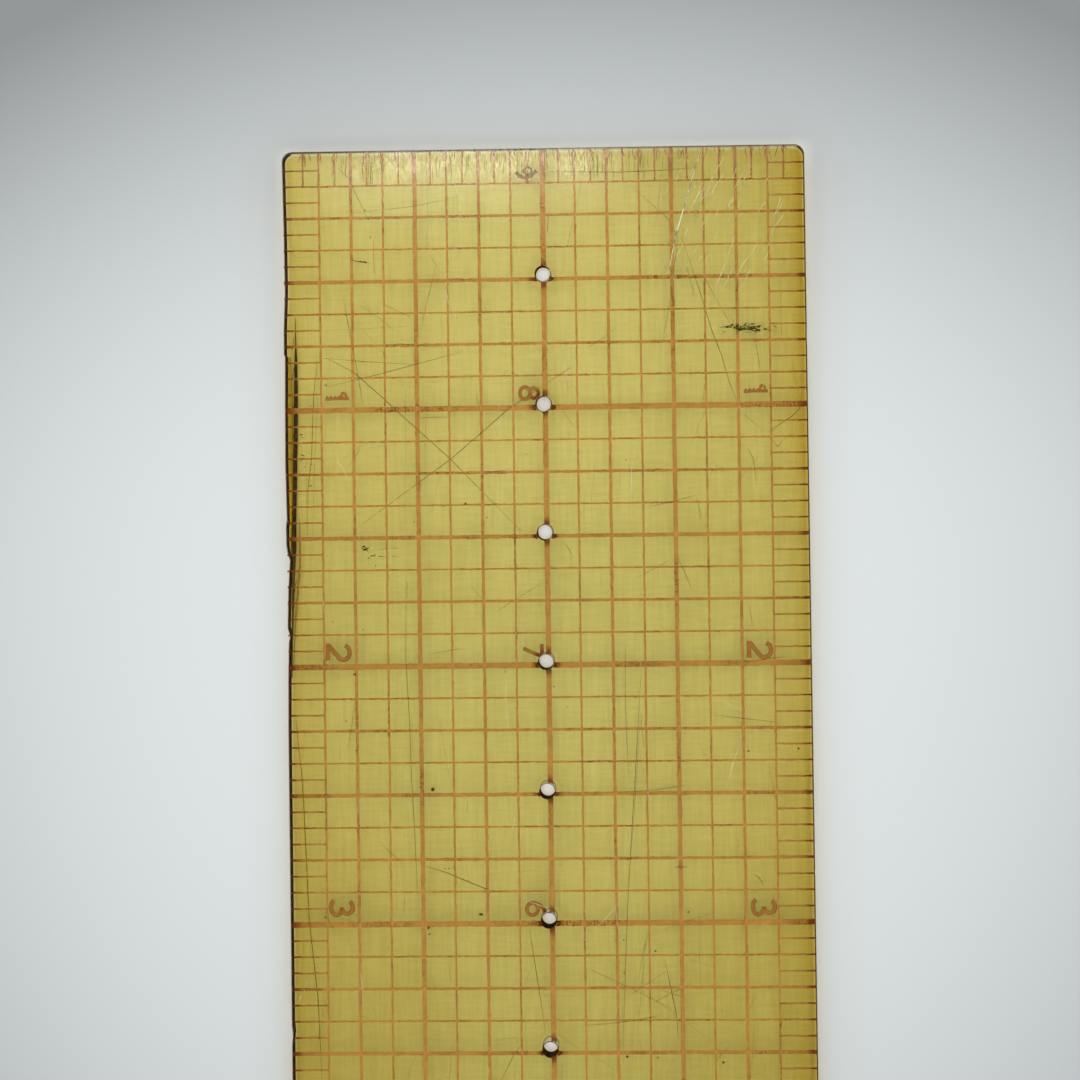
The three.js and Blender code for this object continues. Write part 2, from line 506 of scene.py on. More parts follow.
# A mottled dark solid: real dirt for the specks, and painted shade for the pin hole rims.
def dirty(name, first, second, size):
    f = Finish(name)
    tone = f.blend(f.noise(size, 3).fade(0.35, 0.65), first, second)
    return f.done(f.solid(tone, 0.7, Specular_IOR_Level=0.0))


def faint(name, tint, shade, least, most, size):
    """A mark that comes and goes along its length, over clear plastic."""
    f = Finish(name)
    show = least + (most - least) * f.noise(size, 3, (1, 1, 1), 4).fade(0.35, 0.62)
    return f.done(f.mix(show, f.clear(tint), f.solid(shade, 0.7, Specular_IOR_Level=0.0)))


sheet_top = tinted_face("yellowed_sheet_top", (0.985, 0.98, 0.95), (0.88, 0.77, 0.37), ambering)
# The sheet back's tint holds painted shade and a painted sheen, and the film back's a painted sheen,
# besides their real yellowing and dulling.
sheet_back = tinted_face("yellowed_sheet_back_painted_light", (1.0, 0.96, 0.59), (0.73, 0.57, 0.12))
film_back = tinted_face("yellowed_film_back_painted_sheen", (1.0, 0.995, 0.985), (0.805, 0.815, 0.74), dulling)
film_face = rubbed_face("rubbed_film_face", (0.995, 0.99, 0.98))
# The dark of the cut sides and ends is painted shade.
side_wall = cut_wall(
    "cut_side", (0.74, 0.57, 0.1), (0.4, 0.26, 0.05), 0.15, (0.06, 0.02, 0.001), dark_above=(0.25, 0.6)
)
end_wall = cut_wall(
    "cut_end", (0.85, 0.72, 0.45), (0.35, 0.25, 0.12), 0.25, (0.07, 0.035, 0.012), dark_above=(0.85, 1.15)
)
# The dark of the pin hole walls is painted shade.
hole_wall = drilled_wall("drilled_wall")
# The dark of the pin hole rims is painted shade.
hole_rim_painted_shade = dirty("hole_rim_painted_shade", (0.09, 0.05, 0.02), (0.03, 0.015, 0.005), 0.4)
black_grime = dirty("black_grime", (0.03, 0.03, 0.008), (0.09, 0.08, 0.02), 0.3)
scratch_shade = faint("scratch_shade", (0.9, 0.86, 0.62), (0.17, 0.12, 0.02), 0.03, 0.34, 1.2)
hairline_shade = faint("hairline_shade", (0.94, 0.92, 0.75), (0.12, 0.09, 0.01), 0.02, 0.3, 0.8)
pale_scratch = faint("pale_scratch", (1.0, 1.0, 0.97), (0.95, 0.9, 0.58), 0.1, 0.85, 1.0)
rub_grime = faint("rub_grime", (0.7, 0.66, 0.35), (0.03, 0.027, 0.004), 0.45, 1.0, 0.25)
crack_shade = faint("crack_shade", (0.68, 0.52, 0.11), (0.08, 0.04, 0.0), 0.08, 0.32, 0.8)
hole_stain = faint("hole_stain", (0.8, 0.38, 0.14), (0.3, 0.055, 0.005), 0.3, 0.65, 0.25)
golden_flap = faint("golden_flap", (1.0, 0.94, 0.45), (0.85, 0.6, 0.05), 0.08, 0.25, 1.0)


def along_x(f):
    return f.x


def along_y(f):
    return f.y


crosswise_ink = ink("crosswise_ink", (0.95, 0.55, 0.11), (0.28, 0.09, 0.012), along_y, 0.48)
lengthwise_ink = ink("lengthwise_ink", (0.95, 0.55, 0.125), (0.3, 0.1, 0.014), along_x, 0.53)
numeral_ink = ink("numeral_ink", (0.66, 0.33, 0.07), (0.35, 0.13, 0.02), along_y, 0.56, 0.45, 0.7)
bled_ink = ink("bled_ink", (0.6, 0.26, 0.14), (0.3, 0.09, 0.05), along_y, 0.5)


# Pieces

def keep(obj, finishes, nodes=()):
    """Finish a piece: its materials, and the CAD nodes that it stands for."""
    obj.data.materials.clear()
    for finish in finishes:
        obj.data.materials.append(finish)
    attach(obj, "root")
    if nodes:
        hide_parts(*nodes)
    return obj


def hole_places():
    draw = random.Random(3)
    places = []
    for n in range(pins):
        if n < len(first_hole_wander):
            dx, dy = first_hole_wander[n]
        else:
            dx, dy = (draw.uniform(-hole_wander, hole_wander) for _ in range(2))
        places.append((zero_x + (n + 1) * pin_pitch + hole_shift[X] + dx, hole_shift[Y] + dy))
    return places


holes = hole_places()


def rods(name, radius, low, high, fill="NGON"):
    """A round rod through each pin hole."""
    made = []
    for x, y in holes:
        bpy.ops.mesh.primitive_cylinder_add(
            vertices=hole_sides,
            radius=radius * MM,
            depth=(high - low) * MM,
            location=(x * MM, y * MM, (low + high) / 2 * MM),
            end_fill_type=fill,
        )
        made.append(bpy.context.object)
    return settle(joined(name, made))


# Where the left edge is worn and chipped: each place from the zero mark, and how far in the edge is there
left_edge_wear = [
    (3.0, 0.04),
    (8.0, 0.12),
    (13.6, 0.16),
    (20.0, 0.1),
    (26.0, 0.03),
    (30.6, 0.0),
    (36.4, 0.1),
    (37.0, 0.0),
    (38.7, 0.01),
    (39.5, 0.13),
    (40.2, 0.37),
    (40.5, 0.33),
    (43.1, 0.16),
    (46.9, 0.05),
    (47.7, 0.28),
    (48.3, 0.15),
    (51.8, 0.06),
    (57.0, 0.0),
]
end_skew = 0.15
knock_margin = 3

# The points of the long edges lie farther out than this
near_edge = 25.0

# How near to a place, in metres, the points are that its wear moves
same_place = 2e-6


def nicks(seed, start, count, deepest):
    """Small knocks along an edge, from a place to the far end."""
    draw = random.Random(seed)
    knocks = []
    step = (print_length - knock_margin - start) / count
    for n in range(count):
        middle = start + (n + draw.uniform(0.2, 0.8)) * step
        width = draw.uniform(0.3, 1.2)
        knocks += [(middle - width, 0.0), (middle, draw.uniform(0.2, 1) * deepest), (middle + width, 0.0)]
    return knocks


def cut_sheet(name, low, high, top_round):
    """One layer of the ruler: its outline with worn edges, and its pin holes."""
    obj = block(name, low, high)
    pick(obj, "FACE", lambda face: True)
    bpy.ops.mesh.bisect(
        plane_co=(low[X] * MM, low[Y] * MM, 0),
        plane_no=(1, -end_skew / (2 * edge_y), 0),
        use_fill=True,
        clear_inner=True,
    )
    leave_edit_mode()
    pick(obj, "EDGE", lambda edge: runs_along(obj, edge, Z))
    bpy.ops.mesh.bevel(offset=corner_radius * MM, segments=corner_steps, affect="EDGES")
    leave_edit_mode()
    left_wear = left_edge_wear + nicks(seed=5, start=62, count=9, deepest=0.12)
    wear = {-1: left_wear, 1: nicks(seed=8, start=5, count=11, deepest=0.08)}
    for u, _ in wear[-1] + wear[1]:
        pick(obj, "FACE", lambda face: True)
        bpy.ops.mesh.bisect(plane_co=((zero_x + u) * MM, 0, 0), plane_no=(1, 0, 0))
        leave_edit_mode()
    for side, places in wear.items():
        for u, depth in places:
            x = (zero_x + u) * MM
            pick(
                obj,
                "VERT",
                lambda v: abs(v.co.x - x) < same_place and side * v.co.y > near_edge * MM,
            )
            bpy.ops.transform.translate(value=(0, -side * depth * MM, 0))
            leave_edit_mode()
    if top_round:
        pick(obj, "FACE", lambda face: face.normal.z > 0.9)
        bpy.ops.mesh.region_to_loop()
        bpy.ops.mesh.bevel(offset=rim_round * MM, segments=2, affect="EDGES")
        leave_edit_mode()
    carve(obj, drill)
    return obj


def face_finishes(obj):
    """The materials in order: the top, the back, the long sides, the ends and the walls of the holes."""
    for face in obj.data.polygons:
        x, y = face.center.x / MM, face.center.y / MM
        in_hole = any(math.hypot(x - hole_x, y - hole_y) < near_hole for hole_x, hole_y in holes)
        if abs(face.normal.z) >= 0.5:
            face.material_index = 0 if face.normal.z > 0 else 1
        elif in_hole:
            face.material_index = 4
        else:
            face.material_index = 2 if abs(face.normal.y) > 0.4 else 3


drill = rods("drill", hole_radius, drill_low, drill_high)
ink_drill = rods("ink_drill", hole_radius + ink_gap, drill_low, drill_high)

sheet = cut_sheet("base_sheet_plastic", base_low, base_high, False)
keep(sheet, [sheet_top, sheet_back, side_wall, end_wall, hole_wall], ["base_sheet"])
face_finishes(sheet)

film = cut_sheet("cover_film_plastic", film_low, (film_high[X], film_high[Y], film_top), True)
keep(film, [film_face, film_back, side_wall, end_wall, hole_wall], ["cover_film"])
face_finishes(film)

# Thin dark rings at the top and the foot of each hole wall: painted shade for the hole's dark outline.
rim_radius = hole_radius - rim_gap
upper_rims = rods("upper_rims", rim_radius, film_top - rim_depth, film_top - rim_inset, "NOTHING")
lower_rims = rods("lower_rims", rim_radius, rim_inset, rim_depth / 2, "NOTHING")
rims = joined("pin_hole_rims", [upper_rims, lower_rims])
modify(rims, "SOLIDIFY", thickness=rim_thickness * MM, offset=-1)
keep(rims, [hole_rim_painted_shade])


def crosswise_lines(size, first, every, cut):
    """The crosswise lines of one width: the first, and every so many eighths from it."""
    half = crosswise_widths[size] / 2
    count = (parts_long - 1 - first) // every + 1
    x = zero_x + first * part
    reach = edge_y - line_inset
    obj = leaf("crosswise_" + size + "_lines", x - half, x + half, -reach, reach, crosswise_low)
    divide(obj, Y, crosswise_divisions)
    repeat(obj, X, every * part, count)
    waver(obj, X, line_unevenness)
    thicken(obj, crosswise_high - crosswise_low)
    return carve(obj, ink_drill) if cut else obj


def lengthwise_lines(size, first, every, count, cut=False):
    half = lengthwise_widths[size] / 2
    y = first * part
    name = "centre_line" if size == "centre" else "lengthwise_" + size + "_lines"
    start, end = base_low[X] + zero_end_inset, base_high[X] - line_inset
    obj = leaf(name, start, end, y - half, y + half, lengthwise_low)
    divide(obj, X, lengthwise_divisions)
    if count > 1:
        repeat(obj, Y, every * part, count)
    waver(obj, Y, line_unevenness)
    thicken(obj, lengthwise_high - lengthwise_low)
    return carve(obj, ink_drill) if cut else obj


def edge_ticks(name, side):
    """The sixteenth ticks along one long edge."""
    x = zero_x + part / 2
    half = tick_width / 2
    ends = sorted((side * (parts_to_edge - 1) * part, side * (edge_y - line_inset)))
    obj = leaf(name, x - half, x + half, *ends, lengthwise_low)
    divide(obj, Y, tick_divisions)
    repeat(obj, X, part, parts_long)
    waver(obj, X, tick_unevenness)
    return thicken(obj, lengthwise_high - lengthwise_low)


def end_ticks(name, x0, x1):
    """The sixteenth ticks at one end, out from the first eighth line."""
    half = tick_width / 2
    y = -(parts_to_edge - 0.5) * part
    obj = leaf(name, x0, x1, y - half, y + half, crosswise_low)
    divide(obj, X, tick_divisions)
    repeat(obj, Y, part, 2 * parts_to_edge)
    waver(obj, Y, tick_unevenness)
    return thicken(obj, crosswise_high - crosswise_low)


keep(crosswise_lines("eighth", 1, 2, False), [crosswise_ink], ["main_grid"])
keep(crosswise_lines("quarter", 2, 4, False), [crosswise_ink])
keep(crosswise_lines("half", 4, 8, True), [crosswise_ink])
keep(crosswise_lines("inch", 8, 8, True), [crosswise_ink])

first_line = zero_x + part
last_line = zero_x + (parts_long - 1) * part
ticks = end_ticks("zero_end_sixteenths", base_low[X] + zero_end_inset, first_line)
keep(ticks, [crosswise_ink], ["zero_end_ticks"])
ticks = end_ticks("far_end_sixteenths", last_line, base_high[X] - line_inset)
keep(ticks, [crosswise_ink], ["far_end_ticks"])

sides = ("left", "right")
eighth_nodes = [f"{s}_{k}_line" for s in sides for k in ("eighth", "three_eighth", "five_eighth")]
quarter_nodes = [f"{s}_{k}_line" for s in sides for k in ("quarter", "three_quarter")]
keep(lengthwise_lines("eighth", -7, 2, 8), [lengthwise_ink], eighth_nodes)
keep(lengthwise_lines("quarter", -6, 4, 4), [lengthwise_ink], quarter_nodes)
keep(lengthwise_lines("half", -4, 8, 2), [lengthwise_ink])
keep(lengthwise_lines("centre", 0, 1, 1, True), [lengthwise_ink])
for side, sign in (("left", -1), ("right", 1)):
    ticks = edge_ticks(side + "_edge_sixteenths", sign)
    keep(ticks, [lengthwise_ink], [side + "_edge_scale"])


def drawn(name, lines, finish, slot, low, high, taper=0.35, sides=0):
    """Thin flat marks along polylines. Each has its points and its width, and tapers at its ends,
    or each point has a width of its own after its place."""
    bpy.ops.object.select_all(action="DESELECT")
    bpy.ops.curve.primitive_bezier_curve_add(location=(0, 0, 0))
    curve = bpy.context.object
    curve.data.splines.clear()
    curve.data.dimensions = "3D"
    curve.data.bevel_depth = MM
    curve.data.bevel_resolution = sides
    curve.data.use_fill_caps = True
    for points, width in lines:
        spline = curve.data.splines.new("POLY")
        closed = math.dist(points[0], points[-1]) < 1e-6
        points = points[:-1] if closed else points
        spline.use_cyclic_u = closed
        spline.points.add(len(points) - 1)
        for i, (u, v, *own_width) in enumerate(points):
            spline.points[i].co = ((zero_x + u) * MM, v * MM, 0, 1)
            at_end = i in (0, len(points) - 1) and not closed
            wide = own_width[0] if own_width else width * (taper if at_end else 1)
            spline.points[i].radius = wide / 2
    only(curve)
    bpy.ops.object.convert(target="MESH")
    obj = named(name)
    tall = max(v.co.z for v in obj.data.vertices)
    obj.scale.z = (high - low) / 2 * MM / tall
    obj.location.z = (low + high) / 2 * MM
    return keep(settle(obj), [finish])


# Numbers

def arc(x, y, wide, high, start, end):
    """Points on an arc, from its centre, its two radii and the angles that it runs between."""
    steps = max(4, round(abs(end - start) / 15))
    turns = [math.radians(start + (end - start) * i / steps) for i in range(steps + 1)]
    return [(x + wide * math.cos(turn), y + high * math.sin(turn)) for turn in turns]


# Strokes of each numeral, along the middle of the line, in a cell 0.7 wide and 1 high
strokes = {
    "0": [arc(0.35, 0.5, 0.35, 0.5, 0, 360)],
    "1": [[(0.36, 0.0), (0.36, 1.0)], [(0.12, 0.78), (0.36, 0.97)]],
    "2": [arc(0.36, 0.7, 0.33, 0.3, 165, -38) + [(0.02, 0.03)], [(-0.06, 0.0), (0.72, 0.0)]],
    "3": [arc(0.33, 0.75, 0.29, 0.25, 155, -90), arc(0.33, 0.25, 0.35, 0.25, 90, -158)],
    "4": [[(0.5, 0.0), (0.5, 1.0)], [(0.47, 0.98), (0.02, 0.3)], [(0.0, 0.28), (0.7, 0.28)]],
    "5": [[(0.62, 1.0), (0.1, 1.0)], [(0.12, 0.98), (0.07, 0.53)], arc(0.33, 0.31, 0.35, 0.31, 138, -155)],
    "6": [arc(0.35, 0.3, 0.33, 0.3, 0, 360), arc(0.66, 0.3, 0.64, 0.7, 180, 100)],
    "7": [[(0.0, 1.0), (0.7, 1.0)], [(0.66, 0.97), (0.22, 0.0)]],
    "8": [arc(0.35, 0.76, 0.27, 0.24, -90, 270), arc(0.35, 0.27, 0.33, 0.27, 90, 450)],
    "9": [arc(0.35, 0.7, 0.33, 0.3, 0, 360), arc(0.04, 0.7, 0.64, 0.7, 0, -80)],
}
edge_number_height = 2.6
edge_number_stroke = 0.44
centre_number_height = 2.2
centre_number_stroke = 0.37
cell_width = 0.7
left_foot = -22.08
right_foot = 19.5
centre_foot = -2.68
digit_gap = 0.22
gap_to_line = 0.6


def numeral(text, right, foot, height, stroke):
    """The strokes of a number that reads along X, ends at right and stands on foot."""
    tall = height - stroke
    advance = tall * cell_width + stroke + digit_gap
    lines = []
    for i, digit in enumerate(reversed(text)):
        left = right - i * advance - stroke / 2 - tall * cell_width
        for run in strokes[digit]:
            points = [(left + x * tall - zero_x, foot + stroke / 2 + y * tall) for x, y in run]
            lines.append((points, stroke))
    return lines


def worn_one(u, foot):
    """The first number of an edge, which the printing mesh left as a comb of beads."""
    top = foot + 2.4
    lines = [([(u + 0.05, foot), (u, foot + 0.9), (u, top)], 0.3)]
    for n in range(4):
        v = foot + 0.2 + 0.4 * n
        lines.append(([(u, v - 0.05), (u - 0.28, v + 0.03)], 0.2))
    lines.append(([(u, top - 0.8), (u - 0.5, top - 0.7), (u - 0.58, top - 0.45)], 0.3))
    lines.append(([(u - 0.58, top - 0.45), (u - 0.3, top - 0.3), (u, top - 0.28)], 0.26))
    return lines


def worn_nine(u, v):
    """The centre number at the zero end, smeared by wear to a blot with a stem."""
    bowl = [
        (u - 0.35, v - 0.95),
        (u + 0.05, v - 0.65),
        (u + 0.24, v),
        (u + 0.05, v + 0.55),
        (u - 0.45, v + 1.05),
    ]
    loop = [(u + 0.35 * y - 0.45, v + 0.2 + 0.38 * x) for x, y in arc(0, 0, 1, 1, 0, 360)]
    stem = [(u + 0.2, v), (u + 0.75, v + 0.28)]
    return [(bowl, 0.36), (loop, 0.2), (stem, 0.24)]


def numbers(name, placed, cut, worn):
    lines = worn + [line for each in placed for line in numeral(*each)]
    heights = (lengthwise_low, lengthwise_high)
    obj = drawn(name, lines, numeral_ink, "lengthwise_ink", *heights, taper=1, sides=1)
    return carve(obj, ink_drill, True) if cut else obj


def inch_numbers(foot, first_ends):
    """The numbers 2 to 17 on one edge. The first few end where the photo shows them."""
    placed = []
    for n in range(2, inches_long):
        right = zero_x + n * inch - first_ends.get(n, gap_to_line)
        placed.append((str(n), right, foot, edge_number_height, edge_number_stroke))
    return placed


def centre_numbers():
    half_long = inches_long // 2
    rights = [(n, n * inch - gap_to_line) for n in range(1, inches_long + 1)]
    return [
        (str(abs(half_long - n)), zero_x + right, centre_foot, centre_number_height, centre_number_stroke)
        for n, right in rights
    ]


numbers("left_edge_numbers", inch_numbers(left_foot, {2: 0.49, 3: 0.69}), False, worn_one(24.24, -21.85))
numbers("right_edge_numbers", inch_numbers(right_foot, {2: 0.3, 3: 0.5}), False, worn_one(24.09, 19.56))
numbers("centre_numbers", centre_numbers(), True, worn_nine(2.42, -1.64))


# Wear

def bled_ends(seed):
    """Wisps of ink that have bled at the ends of the lines, along the zero end."""
    draw = random.Random(seed)
    lines = []
    for n in range(-2 * parts_to_edge + 1, 2 * parts_to_edge):
        v = n * part / 2
        for _ in range(draw.randint(3, 6)):
            start = v + draw.gauss(0, 0.35)
            length = draw.uniform(0.2, 1.4)
            lean = draw.gauss(0, 0.2)
            hook = draw.gauss(0, 0.1)
            points = [(-0.12, start), (0.35 * length, start + 0.4 * lean + hook), (length, start + lean)]
            lines.append((points, draw.uniform(0.05, 0.12)))
    return lines


drawn("zero_end_bleeds", bled_ends(61), bled_ink, "crosswise_ink", lengthwise_low, lengthwise_high)


def stains(lengthways):
    """Where the lines end at the pin holes, their ink has run and darkened."""
    draw = random.Random(71)
    lines = []
    for n, (x, y) in enumerate(holes):
        line_u = (n + 1) * pin_pitch
        hole_u = x - zero_x
        for way in (-1, 1):
            reach = draw.uniform(0.25, 0.5)
            steps = ((0.03, 0.62), (0.35 * reach, 0.5), (0.7 * reach, 0.36), (reach, 0.2))
            if lengthways:
                edge = hole_u + way * math.sqrt(hole_radius**2 - y**2)
                points = [(edge + way * out, 0, wide) for out, wide in steps]
            else:
                edge = y + way * math.sqrt(hole_radius**2 - (line_u - hole_u) ** 2)
                points = [(line_u, edge + way * out, wide) for out, wide in steps]
            lines.append((points, 0))
    return lines


drawn("centre_line_stains", stains(True), hole_stain, "crosswise_ink", crosswise_low, crosswise_high)
drawn("crosswise_line_stains", stains(False), hole_stain, "lengthwise_ink", lengthwise_low, lengthwise_high)


def bent(start, end, draw, bow=0.03, steps=6):
    """A nearly straight run of points."""
    (u0, v0), (u1, v1) = start, end
    length = math.hypot(u1 - u0, v1 - v0)
    sag = draw.uniform(-bow, bow) * length
    points = []
    for i in range(steps + 1):
        t = i / steps
        lift = sag * 4 * t * (1 - t) + draw.uniform(-0.01, 0.01)
        across = (-(v1 - v0) / length, (u1 - u0) / length)
        points.append((u0 + t * (u1 - u0) + lift * across[0], v0 + t * (v1 - v0) + lift * across[1]))
    return points


seen_dark_scratches = [
    ([(20.2, -21.7), (21.6, -19.0), (24.1, -16.2), (26.0, -14.2), (30.3, -9.5), (37.6, -2.5)], 0.06),
    ([(36.7, -18.3), (30.3, -9.3), (25.4, -3.5), (21.3, 2.9)], 0.06),
    ([(20.2, -22.0), (20.6, -18.0), (21.0, -12.9)], 0.05),
    ([(23.1, -21.8), (22.1, -17.3), (21.0, -12.9), (19.8, -8.2)], 0.05),
    ([(0.1, -11.4), (9.7, -11.4)], 0.05),
    ([(17.2, -18.2), (20.2, -15.6)], 0.05),
    ([(56.3, 8.9), (63.1, 8.4), (69.0, 7.9)], 0.04),
    ([(22.3, -4.3), (21.6, -3.6)], 0.06),
    ([(8.8, 13.7), (14.9, 15.6), (18.0, 16.5), (20.4, 17.4), (23.3, 18.2), (24.9, 18.8)], 0.05),
    ([(1.4, -20.2), (2.5, -19.1), (3.8, -18.6), (6.5, -17.3)], 0.05),
    ([(5.9, -19.0), (5.3, -12.6), (4.5, -8.6)], 0.04),
    ([(10.2, -24.6), (10.4, -15.9)], 0.03),
    ([(11.1, -10.6), (14.6, -11.5), (18.4, -12.4)], 0.04),
    ([(17.6, -24.7), (17.2, -13.6)], 0.04),
    ([(14.5, -17.9), (17.5, -16.0)], 0.04),
    ([(3.1, 3.9), (9.5, 2.4)], 0.05),
    ([(10.7, 13.6), (14.8, 15.1)], 0.04),
    ([(3.6, 8.7), (7.0, 12.4), (8.7, 13.0)], 0.04),
    ([(2.1, 0.6), (2.3, 7.7), (2.2, 11.6), (2.0, 15.4)], 0.06),
    ([(16.5, 18.2), (17.1, 18.6), (17.6, 18.9)], 0.03),
    ([(17.4, 16.2), (19.1, 16.9), (20.0, 17.2)], 0.03),
    ([(28.6, 22.1), (29.6, 22.8), (28.7, 23.6)], 0.06),
    ([(28.2, 21.9), (27.1, 23.5), (26.6, 24.3), (25.9, 25.0), (24.2, 25.3)], 0.06),
    ([(42.0, -14.0), (50.1, -14.1), (56.5, -13.8), (61.4, -13.7), (65.8, -13.5), (76.1, -13.1)], 0.05),
    ([(51.2, 9.1), (58.5, 8.6), (65.1, 8.1), (73.5, 7.5), (79.1, 7.2), (88.1, 6.8)], 0.05),
    ([(70.4, -12.5), (71.2, -10.0), (71.7, -8.9), (72.7, -6.5), (72.7, -6.2)], 0.07),
    ([(76.6, -2.3), (79.0, -1.9), (82.5, -1.4), (86.8, -0.8)], 0.06),
    ([(79.6, 11.0), (82.3, 11.5), (85.2, 12.1), (87.5, 12.2)], 0.06),
    ([(83.8, 10.1), (85.2, 12.1)], 0.05),
    ([(77.2, 9.4), (78.5, 9.0), (81.7, 8.4)], 0.04),
    ([(71.5, 19.8), (71.7, 20.3), (72.2, 20.6), (72.6, 20.8)], 0.06),
    ([(88.0, -3.2), (89.1, -4.0), (91.4, -5.2)], 0.06),
    ([(79.6, 5.3), (80.6, 6.5)], 0.05),
    ([(89.4, 11.7), (90.9, 11.1)], 0.05),
]
seen_hairlines = [
    [(23.5, -13.8), (36.5, -14.0)],
    [(25.5, -11.8), (34.5, -12.1)],
    [(31.7, -10.5), (35.6, -11.4)],
    [(31.4, -21.5), (28.8, -18.1)],
    [(29.7, 19.8), (30.7, 20.4), (33.3, 20.7)],
    [(38.6, 1.6), (39.3, 2.1), (40.3, 2.6)],
    [(22.2, 1.4), (21.4, 2.6)],
    [(53.5, -18.0), (53.1, -16.4)],
    [(55.8, 15.9), (56.2, 19.0), (56.6, 22.4)],
    [(57.9, 14.2), (59.8, 15.2)],
    [(68.0, -16.8), (69.1, -15.9), (69.8, -14.9)],
    [(70.6, -16.2), (70.1, -14.5)],
    [(80.1, -2.0), (82.1, -2.8)],
    [(79.8, -10.4), (81.8, -10.0)],
    [(76.8, -20.4), (78.9, -19.7)],
    [(83.1, -18.2), (85.4, -17.5)],
    [(88.7, -13.5), (91.1, -14.5)],
    [(85.2, 7.9), (88.1, 7.7)],
    [(78.2, 9.9), (78.5, 11.9)],
    [(79.7, 13.4), (80.6, 16.0)],
    [(87.0, 0.5), (88.8, 3.0)],
    [(89.1, 3.8), (90.4, 5.9)],
    [(85.9, 13.1), (87.3, 14.8)],
    [(0.1, -7.6), (3.0, -7.6)],
]
seen_pale_scratches = [
    ([(0.4, 15.6), (4.4, 14.4), (8.7, 13.1), (12.0, 12.4)], 0.13),
    ([(7.2, -4.4), (6.6, -3.1)], 0.09),
    ([(18.6, -0.2), (19.4, 0.3)], 0.1),
]
seen_edge_scratches = [
    ([(55.9, -25.1), (62.0, -24.5), (69.7, -24.2), (75.6, -24.0), (83.5, -23.2), (92.0, -22.9)], 0.08),
    ([(20.5, -22.5), (23.5, -22.9), (27.3, -23.1), (30.0, -23.2), (33.0, -23.6), (38.3, -23.7)], 0.06),
    ([(30.1, -23.8), (34.8, -23.8)], 0.05),
    ([(20.0, -22.3), (30.0, -22.9), (40.0, -23.3)], 0.03),
    ([(77.9, -24.6), (80.7, -24.7)], 0.05),
]


def stray_scratches(seed, count, longest, width):
    """Fine scratches spread over the whole ruler."""
    draw = random.Random(seed)
    lines = []
    for _ in range(count):
        u = draw.uniform(2, print_length - 2)
        v = draw.uniform(-24.5, 24.5)
        length = draw.uniform(0.2, 1) * longest
        angle = draw.choice((draw.gauss(0, 0.15), draw.uniform(-1.6, 1.6)))
        end_u = min(max(u + length * math.cos(angle), 0.5), print_length)
        end_v = min(max(v + length * math.sin(angle), -25.2), 25.2)
        lines.append((bent((u, v), (end_u, end_v), draw), draw.uniform(0.4, 1) * width))
    return lines


def end_hairlines(seed):
    """Fine scratches along the ruler near its zero end."""
    draw = random.Random(seed)
    lines = []
    for _ in range(80):
        v = draw.uniform(-21, 14)
        start = draw.uniform(0, 1.2)
        end = start + draw.uniform(0.6, 2.6)
        lines.append((bent((start, v), (end, v + draw.gauss(0, 0.1)), draw), 0.03))
    return lines


def hatching(seed):
    """Fine slanting scuffs at the right of the zero end."""
    draw = random.Random(seed)
    lines = []
    for _ in range(60):
        u = draw.uniform(0.4, 12)
        v = draw.uniform(12, 24.5)
        length = draw.uniform(0.8, 3)
        end = (u + length, max(v - length * draw.uniform(0.3, 0.7), 11))
        lines.append((bent((u, v), end, draw), 0.04))
    return lines


def on_top(name, lines, finish):
    return drawn(name, lines, finish, "aged_film", mark_low, mark_high)


def smudge(seed, middle, reach, count, longest):
    """A cluster of short dark rubs along the ruler's width."""
    draw = random.Random(seed)
    lines = []
    for _ in range(count):
        u = middle[0] + draw.gauss(0, reach[0])
        v = middle[1] + draw.gauss(0, reach[1])
        turn = draw.gauss(0, 0.25)
        length = draw.uniform(0.2, 1) * longest
        rub = bent((u, v), (u + length * turn, v + length), draw, steps=3)
        lines.append((rub, draw.uniform(0.04, 0.13)))
    return lines


dark_lines = seen_dark_scratches + stray_scratches(seed=21, count=60, longest=14, width=0.05)
on_top("dark_scratches", dark_lines, scratch_shade)
hairlines = [(points, 0.05) for points in seen_hairlines] + end_hairlines(seed=4)
hairlines += stray_scratches(seed=24, count=260, longest=6, width=0.04)
hairlines += smudge(seed=36, middle=(17.95, 20.5), reach=(0.2, 0.8), count=55, longest=0.5)
on_top("hairlines", hairlines, hairline_shade)
pale_lines = seen_pale_scratches + stray_scratches(seed=22, count=90, longest=7, width=0.05)
on_top("pale_scratches", pale_lines + hatching(seed=25), pale_scratch)
on_top("edge_scratches", seen_edge_scratches, scratch_shade)

